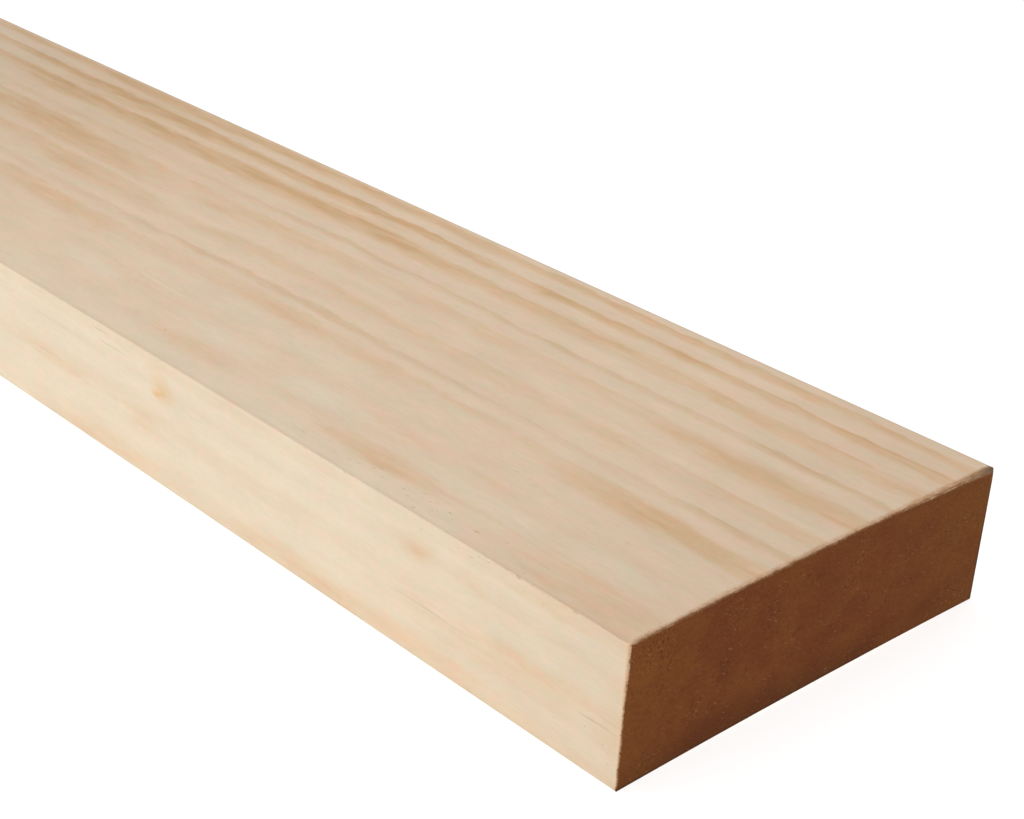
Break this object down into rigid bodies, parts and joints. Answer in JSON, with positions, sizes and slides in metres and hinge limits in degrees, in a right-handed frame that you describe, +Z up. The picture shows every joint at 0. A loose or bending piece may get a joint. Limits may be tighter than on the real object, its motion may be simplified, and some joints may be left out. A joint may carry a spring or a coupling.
{
  "type": "timber plank",
  "caption": "Straight softwood plank of rectangular section, planed on its long faces, with eased long edges, square sawn ends and a slight cup; it lies flat.",
  "frame": {"origin": "under the middle of the plank's length and width, on the level surface that its two lower edges rest on", "axes": "+X along the plank, +Y across its width, +Z up through its thickness, with the domed broad face up"},
  "size_m": [1.8, 0.14, 0.0428],
  "materials": {
    "planed_pine": "planed and unfinished, satin; the sawn ends are darker and rough"
  },
  "bodies": {
    "root": {"plank": "planed_pine"}
  },
  "joints": []
}
